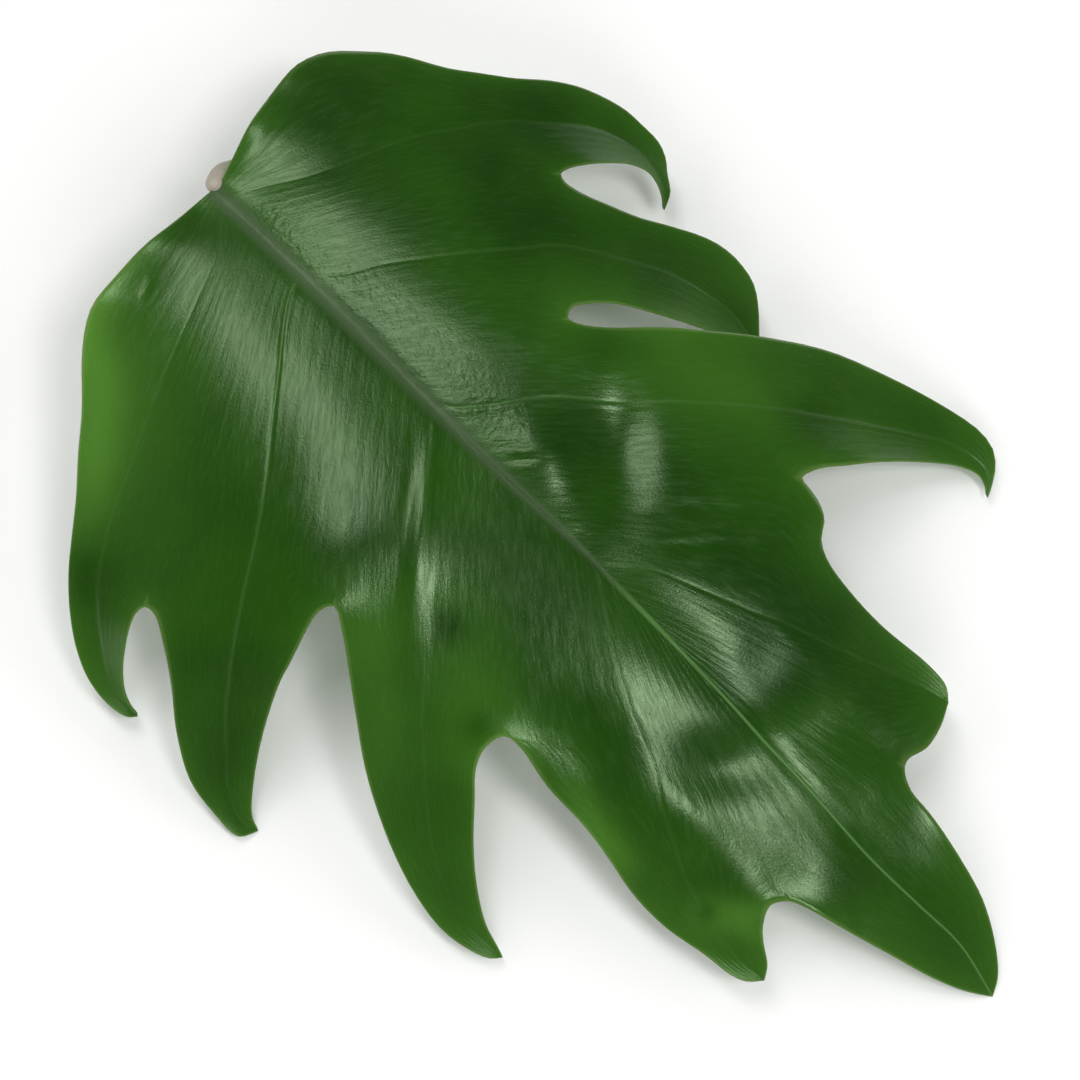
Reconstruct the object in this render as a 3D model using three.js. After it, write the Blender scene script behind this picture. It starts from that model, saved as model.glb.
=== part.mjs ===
// Tree philodendron leaf, as picked: a lobed blade with its cut stalk, lying on a surface.
// Millimetres, +Z up. The origin is the middle of the leaf's box, on the surface.
// +X runs along the midrib to the tip of the leaf, +Y to the side that the stalk props up.
// The blade rests on its tip and on one side lobe, and the stalk rests on its slanting cut.

import * as THREE from 'three';

// Driving dimensions of the blade
const BLADE_LENGTH = 340;
const BLADE_THICKNESS = 0.8;
const JUNCTION = [-164, 2];
const ROOT_HEIGHT = 50;
const TIP_HEIGHT = 0.3;
const ARCH_HEIGHT = 24.6;
const TROUGH_DEPTH = 7;
const TROUGH_REACH = 45;
const TIP_CURL = 2.2;

// Driving dimensions of the midrib and the side veins, which stand out under the blade
const MIDRIB_DEPTH = 4;
const MIDRIB_CREST = 0.5;
const MIDRIB_HALF_WIDTH = 3;
const MIDRIB_UNDERCUT = 0.8;
const UNDERCUT_REACH = 6;
const VEIN_DEPTH = 1.3;
const VEIN_HALF_WIDTH = 1.1;

// Driving dimensions of the stalk
const STALK_RADIUS = 3.1;
const KNUCKLE_SWELL = 0.5;
const KNUCKLE_LENGTH = 14;
const ROOT_GAP = 0.5;

// How finely the surfaces are divided
const SPAN_STEPS = 16;
const ROWS = 20;
const BAY_ROW = 10;
const COLUMNS = 6;
const STALK_SIDES = 16;
const STALK_STEPS = 24;

// The midrib in plan, from the junction with the stalk to the tip of the leaf
const MIDRIB = [
  [0, 0], [50, -0.5], [105, -1.5], [165, 0], [235, 0.5], [254, 3], [285, 0], [305, 1.5], [322, 3],
  [BLADE_LENGTH, 0],
];

// Places along the midrib: where each side vein leaves it, and where each bay's line meets it
const VEIN_STARTS = [5, 41, 100, 167, 200];
const BAY_STARTS = [22, 68, 132, 200];

// Each side of the blade in plan, from its base margin round the lobes to the tip of the leaf.
// A lobe has its vein, its tip, the tip's height, and the share of the vein inside the bays.
// A bay runs from one lobe's tip, over its deepest point, to the next lobe's tip.
// Puff is how far the blade bulges between the veins, at the base margin and then at each bay.
const LEFT_SIDE = {
  sign: 1,
  droop: 0.0024,
  puff: [2, 2, 2.5, 2.5, 2],
  margin: [
    [0, 4], [-2, 8.5], [-5, 16], [-8.5, 26.5], [-11.5, 38.5], [-12.5, 49], [-10, 58.5],
    [-1.5, 68], [9.5, 76], [22, 84], [33.5, 93.5], [43, 105], [52.5, 113], [62.5, 118],
    [70.5, 119], [77, 119.5], [82, 118], [86, 115], [90.5, 112],
  ],
  lobes: [
    {
      tip: [92.5, 107.5], height: 11, share: 0.62,
      vein: [
        [12.5, 13], [18, 21.5], [22, 30], [26.5, 42.5], [31, 55.5], [37.5, 68], [44, 80],
        [53.5, 92.5], [63, 105], [74.5, 112], [83.5, 113], [89.5, 111],
      ],
    },
    {
      tip: [150, 92], height: 7, share: 0.45,
      vein: [
        [46, 3.5], [51, 9], [56.5, 18.5], [64.5, 29.5], [73, 41.5], [80.5, 51.5], [88, 62.5],
        [96, 70], [104, 77], [111.5, 84], [120, 89.5], [127.5, 93], [134, 95.5], [143, 95.5],
      ],
    },
    {
      tip: [232, 113.5], height: 4, share: 0.34,
      vein: [
        [104, 2], [111, 10], [118, 20], [126, 29.5], [135, 38.5], [144, 47.5], [152.5, 57],
        [161, 66.5], [169.5, 76.5], [178.5, 86], [188, 96], [201, 108], [213.5, 117],
        [225.5, 119],
      ],
    },
    {
      tip: [269, 52], height: 20, share: 0.45,
      vein: [
        [175.5, 8], [182.5, 12], [190.5, 15.5], [200.5, 20], [210.5, 24.5], [218.5, 29],
        [228.5, 33.5], [238, 38.5], [249, 44], [260, 49],
      ],
    },
  ],
  bays: [
    {
      deepest: [70.5, 81.5],
      back: [
        [88.5, 109.5], [86, 110], [82.5, 109.5], [78.5, 105.5], [75, 97.5], [72, 89.5],
        [70.5, 84.5],
      ],
      front: [
        [73.5, 80.5], [78.5, 81.5], [85, 84], [95, 89.5], [102.5, 96], [114.5, 105],
        [120.5, 107.5], [127, 108], [132.5, 107], [137.5, 104], [145, 97.5],
      ],
    },
    {
      deepest: [108.5, 47],
      back: [
        [145, 92], [139, 88], [133, 82], [123.5, 72], [117.5, 66.5], [113, 62], [108.5, 55],
        [106.5, 50.5],
      ],
      front: [
        [112.5, 49], [119.5, 56], [126.5, 64], [136.5, 76], [149, 90], [162, 103],
        [176.5, 112.5], [192, 120], [209, 126], [217, 127], [223, 125.5], [227, 122],
        [230, 117.5],
      ],
    },
    {
      deepest: [191, 65.5],
      back: [
        [228.5, 115.5], [224.5, 116], [218.5, 112.5], [211.5, 104.5], [202.5, 90.5], [197, 80.5],
        [192, 71.5],
      ],
      front: [
        [194.5, 65], [200, 64], [204.5, 61.5], [208, 56.5], [213.5, 53.5], [224, 52],
        [238, 52.5], [257.5, 55.5], [265, 55],
      ],
    },
    {
      deepest: [273.5, 27],
      back: [[272.5, 44], [274, 36.5], [272.5, 30]],
      front: [[279, 23.5], [289, 22.5], [305.5, 20], [317.5, 17], [329.5, 11], [337, 5]],
    },
  ],
};

const RIGHT_SIDE = {
  sign: -1,
  droop: 0.0026,
  puff: [2, 2, 3, 2.5, 2],
  margin: [
    [0, -4], [-0.2, -8], [-0.5, -19], [-0.5, -34], [0.5, -44], [2, -52], [5, -58], [9.5, -63.5],
    [20, -73.5], [29.5, -84], [39, -94.5], [47, -104], [54, -113], [62.5, -121], [70, -126.5],
    [78, -130], [87, -131], [93.5, -129.5],
  ],
  lobes: [
    {
      tip: [95.5, -127], height: 7, share: 0.7,
      vein: [
        [11, -6.5], [17.5, -13.5], [22.5, -23.5], [28.5, -37], [35, -52.5], [43, -70],
        [48, -80.5], [52, -90.5], [58, -101], [65.5, -112], [75.5, -121], [86, -127.5],
      ],
    },
    {
      tip: [146.5, -124.5], height: 0.3, share: 0.5,
      vein: [
        [43.5, -7.5], [48.5, -14.5], [60.5, -28], [71, -40.5], [78, -48.5], [87, -60],
        [94.5, -71], [99.5, -79.5], [105.5, -89.5], [110.5, -97.5], [117.5, -107.5],
        [125.5, -116], [133, -123], [141.5, -126.5],
      ],
    },
    {
      tip: [227.5, -98], height: 4, share: 0.42,
      vein: [
        [103.5, -6], [110, -13], [116, -19.5], [124, -28], [133.5, -37.5], [141, -45.5],
        [149.5, -53.5], [157, -61], [163, -67.5], [173, -76.5], [181, -83.5], [188, -89],
        [199.5, -95.5], [212.5, -99],
      ],
    },
    {
      tip: [288, -47.5], height: 13, share: 0.45,
      vein: [
        [174, -4.5], [183, -10.5], [193.5, -16.5], [203, -21.5], [213, -25.5], [222.5, -29.5],
        [232, -35.5], [242, -40.5], [252, -44.5], [263, -47], [275, -48.5],
      ],
    },
  ],
  bays: [
    {
      deepest: [79.5, -103.5],
      back: [[91.5, -126], [88.5, -124.5], [85, -121], [82, -116], [79.5, -110.5], [78.5, -106.5]],
      front: [
        [83.5, -103], [92, -107.5], [100.5, -113.5], [111.5, -122.5], [123, -129], [134, -130.5],
        [144, -130],
      ],
    },
    {
      deepest: [123.5, -64.5],
      back: [
        [142.5, -123], [137, -116.5], [129.5, -103], [125, -90.5], [124, -85], [121, -72],
        [121, -68.5],
      ],
      front: [
        [129.5, -67.5], [146.5, -79.5], [162.5, -90.5], [180, -99], [196, -104], [209.5, -105.5],
        [219.5, -103.5], [225, -101],
      ],
    },
    {
      deepest: [185, -54.5],
      back: [[224, -97], [217, -95], [208.5, -90], [200, -83], [191, -73.5], [185, -67], [183, -61]],
      front: [
        [190.5, -53.5], [204, -55.5], [219.5, -55.5], [229.5, -56.5], [243, -58.5], [256.5, -58],
        [270.5, -55], [280, -53.5], [284.5, -51.5],
      ],
    },
    {
      deepest: [277, -27],
      back: [[285.5, -44], [280, -40.5], [276.5, -37.5], [274, -32]],
      front: [[281, -25], [290, -22], [306, -16.5], [322.5, -10.5], [332.5, -5.5]],
    },
  ],
};

// The last lobe of both sides: its vein is the midrib itself
const LAST_LOBE = { tip: [BLADE_LENGTH, 0], height: TIP_HEIGHT, share: 0.5 };

// The stalk's route under the blade, after its first few millimetres, down to its cut foot
const STALK_ROUTE = [
  [-3.6, 2.6, 44.6], [-4.4, 6.5, 42], [-3.8, 12, 38], [-0.5, 22, 31.5], [4.5, 34, 24.5],
  [10.5, 46, 16.5], [14.5, 53.5, 9.5],
];
const STALK_LEAD = 2.6;

const leafGreen = new THREE.MeshStandardMaterial({ color: '#2c5420', roughness: 0.42, metalness: 0 });
const stalkGreen = new THREE.MeshStandardMaterial({ color: '#8a8468', roughness: 0.55, metalness: 0 });

// Plan curves

const lerp = THREE.MathUtils.lerp;
const between = (a, b, share) => [lerp(a[0], b[0], share), lerp(a[1], b[1], share)];

// A smooth curve through plan points, as a run of short straight steps.
function smoothTrack(points) {
  const knots = points.map(([x, y]) => new THREE.Vector3(x, y, 0));
  const curve = new THREE.CatmullRomCurve3(knots, false, 'centripetal');
  return curve.getPoints(SPAN_STEPS * (points.length - 1)).map((p) => [p.x, p.y]);
}

// The point at a share of a track's length.
function pointAlong(track, share) {
  const lengths = [0];
  for (let i = 1; i < track.length; i++) {
    lengths.push(lengths[i - 1] + Math.hypot(track[i][0] - track[i - 1][0], track[i][1] - track[i - 1][1]));
  }
  const wanted = share * lengths.at(-1);
  let i = 1;
  while (i < track.length - 1 && lengths[i] < wanted) i++;
  const step = lengths[i] - lengths[i - 1];
  return step > 0 ? between(track[i - 1], track[i], Math.min(1, (wanted - lengths[i - 1]) / step)) : track[i];
}

const midribTrack = smoothTrack(MIDRIB);

// The midrib's sideways place at a distance x from the junction.
function midribY(x) {
  if (x <= 0) return 0;
  const next = midribTrack.findIndex((p) => p[0] >= x);
  if (next < 1) return 0;
  const [a, b] = [midribTrack[next - 1], midribTrack[next]];
  return lerp(a[1], b[1], (x - a[0]) / (b[0] - a[0]));
}

function midribStretch(from, to) {
  const steps = 24;
  return Array.from({ length: steps + 1 }, (_, i) => {
    const x = lerp(from, to, i / steps);
    return [x, midribY(x)];
  });
}

// Distance from a plan point to a track.
function distanceTo(track, [x, y]) {
  let nearest = Infinity;
  for (let i = 1; i < track.length; i++) {
    const [[ax, ay], [bx, by]] = [track[i - 1], track[i]];
    const [stepX, stepY] = [bx - ax, by - ay];
    const along = ((x - ax) * stepX + (y - ay) * stepY) / (stepX ** 2 + stepY ** 2 || 1);
    const share = THREE.MathUtils.clamp(along, 0, 1);
    nearest = Math.min(nearest, Math.hypot(x - ax - share * stepX, y - ay - share * stepY));
  }
  return nearest;
}

// Heights

// The midrib's height: a straight fall from root to tip, with an arch on it.
function midribHeight(x) {
  const share = x / BLADE_LENGTH;
  return lerp(ROOT_HEIGHT, TIP_HEIGHT, share) + ARCH_HEIGHT * 4 * share * (1 - share);
}

// The blade rises out of the midrib's trough and then droops to its margin.
function bladeHeight(side, [x, y]) {
  const off = Math.abs(y - midribY(x));
  return midribHeight(x) + TROUGH_DEPTH * (1 - Math.exp(-off / TROUGH_REACH)) - side.droop * off * off;
}

// Rows run across a lobe: BAY_ROW of them out to the bay, the rest from there to the lobe's tip.
function rowShare(row) {
  if (row <= BAY_ROW) return (row / BAY_ROW) ** 1.4;
  const share = (row - BAY_ROW) / (ROWS - BAY_ROW);
  return 1 + 0.5 * share + 0.25 * (1 - Math.cos(Math.PI * share));
}

// Columns run from the lobe's edge to its vein, closer together at the vein.
function acrossShare(column) {
  return 1 - (1 - column / COLUMNS) ** 1.5;
}

// Half of a lobe, as rows of plan points from its edge (column 0) to its vein.
// The edge runs up the bay's line and on round the margin; both blend into the vein's curve.
// Each row also says how far out it lies, from 0 at the bay to 1 at the lobe's tip.
function halfLobe(lobe, vein, bayLine, margin, root) {
  const grid = [];
  for (let row = 0; row <= ROWS; row++) {
    const share = rowShare(row);
    const onVein = share <= 1 ? lobe.share * share : lobe.share + (1 - lobe.share) * (share - 1);
    const rib = pointAlong(vein, onVein);
    let edge;
    if (!bayLine) edge = pointAlong(margin, onVein);
    else edge = share <= 1 ? between(...bayLine, share) : pointAlong(margin, share - 1);
    const fade = (1 - row / ROWS) ** 2;
    const line = Array.from({ length: COLUMNS + 1 }, (_, column) => {
      if (column === 0) return edge;
      if (column === COLUMNS) return rib;
      const across = acrossShare(column);
      const straight = between(edge, rib, across);
      const bend = pointAlong(root, across);
      const chord = between(root[0], root.at(-1), across);
      return [straight[0] + fade * (bend[0] - chord[0]), straight[1] + fade * (bend[1] - chord[1])];
    });
    grid.push({ line, out: Math.max(0, share - 1) });
  }
  return grid;
}

// Every half-lobe of one side, with what its heights need.
function sideHalves(side) {
  const halves = [];
  const lobes = [...side.lobes, LAST_LOBE];
  const bayTracks = side.bays.map((bay, i) => {
    const { back, deepest, front } = bay;
    const track = smoothTrack([lobes[i].tip, ...back, deepest, ...front, lobes[i + 1].tip]);
    const cut = SPAN_STEPS * (back.length + 1);
    return { back: track.slice(0, cut + 1).reverse(), front: track.slice(cut) };
  });
  lobes.forEach((lobe, i) => {
    const start = [VEIN_STARTS[i], midribY(VEIN_STARTS[i])];
    const vein = lobe.vein
      ? smoothTrack([start, ...lobe.vein, lobe.tip])
      : midribStretch(start[0], BLADE_LENGTH);
    const height = (p, out) => lerp(bladeHeight(side, p), lobe.height, lobe.vein ? out ** TIP_CURL : 0);
    const bayLine = (bay) => {
      const x = BAY_STARTS[bay];
      return [[x, midribY(x)], side.bays[bay].deepest];
    };
    const rootFrom = i === 0 ? 0 : BAY_STARTS[i - 1];
    const line = i === 0 ? null : bayLine(i - 1);
    const margin = i === 0 ? smoothTrack([[0, 0], ...side.margin, lobe.tip]) : bayTracks[i - 1].front;
    const lead = halfLobe(lobe, vein, line, margin, midribStretch(rootFrom, start[0]));
    halves.push({ side, vein, height, puff: side.puff[i], grid: lead, flip: side.sign > 0 });
    if (i < side.bays.length) {
      const root = midribStretch(start[0], BAY_STARTS[i]).reverse();
      const trail = halfLobe(lobe, vein, bayLine(i), bayTracks[i].back, root);
      halves.push({ side, vein, height, puff: side.puff[i + 1], grid: trail, flip: side.sign < 0 });
    }
  });
  return halves;
}

// The blade's middle surface: points with their rib sizes, and triangles facing up.
function middleSurface() {
  const points = [];
  const triangles = [];
  const known = new Map();
  for (const half of [...sideHalves(LEFT_SIDE), ...sideHalves(RIGHT_SIDE)]) {
    const index = half.grid.map(({ line, out }, row) => line.map((p, column) => {
      const key = `${p[0].toFixed(3)} ${p[1].toFixed(3)}`;
      if (!known.has(key)) {
        const bulge = half.puff * Math.sin(Math.PI * row / ROWS) * (1 - acrossShare(column) ** 2);
        const taper = 1 - p[0] / BLADE_LENGTH;
        const offMidrib = Math.abs(p[1] - midribY(p[0])) / (MIDRIB_HALF_WIDTH * (0.3 + 0.7 * taper));
        const offVein = distanceTo(half.vein, p) / VEIN_HALF_WIDTH;
        known.set(key, points.length);
        points.push({
          place: new THREE.Vector3(p[0], p[1], half.height(p, out) + bulge),
          crest: MIDRIB_CREST * Math.max(0, 1 - offMidrib ** 2),
          keel: MIDRIB_DEPTH * (0.1 + 0.9 * taper) * Math.max(0, 1 - offMidrib ** 2),
          rib: VEIN_DEPTH * (1 - 0.7 * row / ROWS) * Math.max(0, 1 - offVein ** 2),
          normal: new THREE.Vector3(),
        });
      }
      return known.get(key);
    }));
    for (let row = 0; row < ROWS; row++) {
      for (let column = 0; column < COLUMNS; column++) {
        const [a, b] = [index[row][column], index[row][column + 1]];
        const [c, d] = [index[row + 1][column + 1], index[row + 1][column]];
        for (const [i, j, k] of [[a, b, c], [a, c, d]]) {
          if (i !== j && j !== k && k !== i) triangles.push(half.flip ? [i, j, k] : [i, k, j]);
        }
      }
    }
  }
  return { points, triangles };
}

// The blade as a closed solid: the middle surface moved up and down, and a rim round the margin.
function bladeGeometry({ points, triangles }) {
  const face = new THREE.Triangle();
  const facing = new THREE.Vector3();
  for (const [i, j, k] of triangles) {
    face.set(points[i].place, points[j].place, points[k].place);
    face.getNormal(facing).multiplyScalar(face.getArea());
    for (const corner of [i, j, k]) points[corner].normal.add(facing);
  }
  const upper = [];
  const lower = [];
  for (const { place, normal, crest, keel, rib } of points) {
    normal.normalize();
    upper.push(place.clone().addScaledVector(normal, BLADE_THICKNESS / 2 + crest));
    const under = place.clone().addScaledVector(normal, -BLADE_THICKNESS / 2 - rib);
    under.x += MIDRIB_UNDERCUT * keel * Math.exp(-Math.max(0, place.x) / UNDERCUT_REACH);
    under.z -= keel;
    lower.push(under);
  }
  const edges = new Map();
  for (const [i, j, k] of triangles) {
    for (const [from, to] of [[i, j], [j, k], [k, i]]) {
      if (!edges.delete(`${to} ${from}`)) edges.set(`${from} ${to}`, [from, to]);
    }
  }
  const count = points.length;
  const index = [];
  for (const [i, j, k] of triangles) index.push(i, j, k, count + i, count + k, count + j);
  for (const [from, to] of edges.values()) index.push(from, count + from, count + to, from, count + to, to);
  const geometry = new THREE.BufferGeometry();
  const corners = [...upper, ...lower].flatMap((p) => [p.x, p.y, Math.max(0, p.z)]);
  geometry.setAttribute('position', new THREE.Float32BufferAttribute(corners, 3));
  geometry.setIndex(index);
  return { geometry, rootTop: upper[0], rootUnder: lower[0] };
}

// The stalk: a round section carried from the midrib's root down to a slanting cut on the surface.
function stalkGeometry(rootTop, rootUnder) {
  const down = rootUnder.clone().sub(rootTop).normalize();
  const away = new THREE.Vector3(down.z, 0, -down.x);
  const start = rootTop.clone().add(rootUnder).multiplyScalar(0.5).addScaledVector(away, ROOT_GAP);
  const lead = start.clone().addScaledVector(away, STALK_LEAD);
  const route = [start, lead, ...STALK_ROUTE.map((p) => new THREE.Vector3(...p))];
  const curve = new THREE.CatmullRomCurve3(route, false, 'centripetal');
  const frames = curve.computeFrenetFrames(STALK_STEPS, false);
  const length = curve.getLength();
  const corners = [];
  for (let step = 0; step <= STALK_STEPS; step++) {
    const share = step / STALK_STEPS;
    const centre = curve.getPointAt(share);
    const tangent = frames.tangents[step];
    const swell = KNUCKLE_SWELL * Math.sin(Math.PI * Math.min(1, share * length / KNUCKLE_LENGTH));
    const radius = STALK_RADIUS + swell;
    for (let i = 0; i < STALK_SIDES; i++) {
      const angle = 2 * Math.PI * i / STALK_SIDES;
      const p = centre.clone().addScaledVector(frames.normals[step], radius * Math.cos(angle));
      p.addScaledVector(frames.binormals[step], radius * Math.sin(angle));
      if (step === STALK_STEPS) p.addScaledVector(tangent, -p.z / tangent.z);
      corners.push(p.x, p.y, step === STALK_STEPS ? 0 : p.z);
    }
  }
  const index = [];
  for (let step = 0; step < STALK_STEPS; step++) {
    for (let i = 0; i < STALK_SIDES; i++) {
      const [a, b] = [step * STALK_SIDES + i, step * STALK_SIDES + (i + 1) % STALK_SIDES];
      index.push(a, b, b + STALK_SIDES, a, b + STALK_SIDES, a + STALK_SIDES);
    }
  }
  const foot = STALK_STEPS * STALK_SIDES;
  for (let i = 1; i < STALK_SIDES - 1; i++) {
    index.push(0, i + 1, i, foot, foot + i, foot + i + 1);
  }
  const geometry = new THREE.BufferGeometry();
  geometry.setAttribute('position', new THREE.Float32BufferAttribute(corners, 3));
  geometry.setIndex(index);
  return geometry;
}

const { geometry: blade, rootTop, rootUnder } = bladeGeometry(middleSurface());
const bladeMesh = new THREE.Mesh(blade, leafGreen);
bladeMesh.name = 'leaf_blade';
const stalkMesh = new THREE.Mesh(stalkGeometry(rootTop, rootUnder), stalkGreen);
stalkMesh.name = 'petiole';

const group = new THREE.Group();
group.name = 'tree_philodendron_leaf';
group.position.set(...JUNCTION, 0);
group.add(bladeMesh, stalkMesh);

export default group;
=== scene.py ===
"""Tree philodendron leaf, picked and laid on a pale floor. Plan sizes are in millimetres."""
import bpy
import numpy as np
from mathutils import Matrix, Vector


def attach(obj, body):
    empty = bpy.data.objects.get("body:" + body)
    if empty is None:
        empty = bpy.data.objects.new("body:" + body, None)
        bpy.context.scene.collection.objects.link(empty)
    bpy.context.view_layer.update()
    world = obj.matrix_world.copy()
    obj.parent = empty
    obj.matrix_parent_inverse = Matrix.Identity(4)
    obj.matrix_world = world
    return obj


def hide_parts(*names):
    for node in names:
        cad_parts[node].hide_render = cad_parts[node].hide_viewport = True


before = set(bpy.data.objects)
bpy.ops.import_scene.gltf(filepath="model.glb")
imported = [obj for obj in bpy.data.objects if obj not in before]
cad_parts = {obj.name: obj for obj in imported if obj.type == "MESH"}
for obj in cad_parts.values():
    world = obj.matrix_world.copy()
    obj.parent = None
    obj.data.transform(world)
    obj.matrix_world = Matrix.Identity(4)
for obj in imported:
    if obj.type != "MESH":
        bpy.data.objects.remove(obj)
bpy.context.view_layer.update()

# Camera
# It looks steeply down across the leaf, with the leaf's tip towards the lower right of the
# picture. Its aim is a point under the arched midrib, a little short of the blade's middle.
# Places are given in millimetres from the junction of the blade and its stalk.
MM = 0.001
JUNCTION = np.array([-164.0, 2.0, 0.0])
AIM = np.array([147.0, -2.8, 30.0])
CAMERA_AZIMUTH = 45.45
CAMERA_ELEVATION = 75.0
CAMERA_DISTANCE = 781.0
CAMERA_LENS = 85.0
CLIP_START = 0.01


def direction(azimuth, elevation):
    """Unit vector from the leaf to a viewer: the azimuth turns from -Y towards +X."""
    a, e = np.radians([azimuth, elevation])
    return np.array([np.sin(a) * np.cos(e), -np.cos(a) * np.cos(e), np.sin(e)])


def place(point):
    """A point given from the junction of blade and stalk in millimetres, in the scene's metres."""
    return Vector((np.asarray(point) + JUNCTION) * MM)


camera = bpy.data.objects.new("camera", bpy.data.cameras.new("camera"))
bpy.context.scene.collection.objects.link(camera)
camera_side = direction(CAMERA_AZIMUTH, CAMERA_ELEVATION)
camera.location = place(AIM + CAMERA_DISTANCE * camera_side)
camera.rotation_euler = Vector(-camera_side).to_track_quat("-Z", "Y").to_euler()
camera.data.lens = CAMERA_LENS
camera.data.clip_start = CLIP_START
bpy.context.scene.camera = camera

# Leaf blade, its outline
# One sheet of leaf tissue with its midrib and side veins, grown in one piece. Its plan is
# measured from the junction with the stalk, +X along the midrib and +Y to the propped side.
BLADE_LENGTH = 340.0

# A lobe has its tip, the tip's height, the share of its vein inside the bays, and how plainly
# its vein shows. A bay runs from one lobe's tip, back to its deepest point and out again to
# the next lobe's tip. Puff is how far the blade bulges between the veins, at the base margin
# and then at each bay, droop is the fall towards the margin, and sign is the side's way in Y.
MIDRIB = [
    (0, 0), (50, -0.5), (105, -1.5), (165, 0), (235, 0.5), (254, 0.4), (285, 0), (305, 1.5),
    (322, 3), (BLADE_LENGTH, 0),
]
VEIN_STARTS = [5, 41, 100, 167, 200]
BAY_STARTS = [22, 68, 132, 186]

LEFT_SIDE = {
    "sign": 1,
    "droop": 0.0024,
    "puff": [2, 1, 1, -1, 1],
    "margin": [
        (0, 4), (-2, 8.5), (-5, 16), (-8.5, 26.5), (-11.5, 38.5), (-12.5, 49), (-10, 58.5),
        (-1.5, 68), (9.5, 76), (22, 84), (33.5, 93.5), (43, 105), (52.5, 113), (62.5, 118),
        (70.5, 119), (77, 119.5), (82, 118), (86, 115), (90.5, 112),
    ],
    "lobes": [
        {
            "tip": (92.5, 107.5), "height": 11, "share": 0.62, "line": 0.25,
            "vein": [
                (12.5, 13), (18, 21.5), (22, 30), (26.5, 42.5), (31, 55.5), (37.5, 68), (44, 80),
                (53.5, 92.5), (63, 105), (74.5, 112), (83.5, 113), (89.5, 111),
            ],
        },
        {
            "tip": (150, 92), "height": 7, "share": 0.45, "line": 0.4,
            "vein": [
                (46, 3.5), (51, 9), (56.5, 18.5), (64.5, 29.5), (73, 41.5), (80.5, 51.5), (88, 62.5),
                (96, 70), (104, 77), (111.5, 84), (120, 89.5), (127.5, 93), (134, 95.5), (143, 95.5),
            ],
        },
        {
            "tip": (232, 113.5), "height": 4, "share": 0.34, "line": 0.7,
            "vein": [
                (104, 2), (111, 10), (118, 20), (126, 29.5), (135, 38.5), (144, 47.5), (152.5, 57),
                (161, 66.5), (169.5, 76.5), (178.5, 86), (188, 96), (201, 108), (213.5, 117),
                (225.5, 119),
            ],
        },
        {
            "tip": (269, 52), "height": 20, "share": 0.45, "line": 0.4,
            "vein": [
                (175.5, 8), (182.5, 12), (190.5, 15.5), (200.5, 20), (210.5, 24.5), (218.5, 29),
                (228.5, 33.5), (238, 38.5), (249, 44), (260, 49),
            ],
        },
    ],
    "bays": [
        {
            "deepest": (70.5, 81.5),
            "back": [
                (88.5, 109.5), (86, 110), (82.5, 109.5), (78.5, 105.5), (75, 97.5), (72, 89.5),
                (70.5, 84.5),
            ],
            "front": [
                (73.5, 80.5), (78.5, 81.5), (85, 84), (95, 89.5), (102.5, 96), (114.5, 105),
                (120.5, 107.5), (127, 108), (132.5, 107), (137.5, 104), (145, 97.5),
            ],
        },
        {
            "deepest": (108.5, 47),
            "back": [
                (145, 92), (139, 88), (133, 82), (123.5, 72), (117.5, 66.5), (113, 62), (108.5, 55),
                (106.5, 50.5),
            ],
            "front": [
                (112.5, 49), (119.5, 56), (126.5, 64), (136.5, 76), (149, 90), (162, 103),
                (176.5, 112.5), (192, 120), (209, 126), (217, 127), (223, 125.5), (227, 122),
                (230, 117.5),
            ],
        },
        {
            "deepest": (191, 65.5),
            "back": [
                (228.5, 115.5), (224.5, 116), (218.5, 112.5), (211.5, 104.5), (202.5, 90.5), (197, 80.5),
                (192, 71.5),
            ],
            "front": [
                (194.5, 65), (200, 64), (204.5, 61.5), (208, 56.5), (213.5, 53.5), (224, 52),
                (238, 52.5), (257.5, 55.5), (265, 55),
            ],
        },
        {
            "deepest": (273.5, 27),
            "back": [(272.5, 44), (274, 36.5), (272.5, 30)],
            "front": [(279, 23.5), (289, 22.5), (305.5, 20), (317.5, 17), (329.5, 11), (337, 5)],
        },
    ],
}

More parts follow.
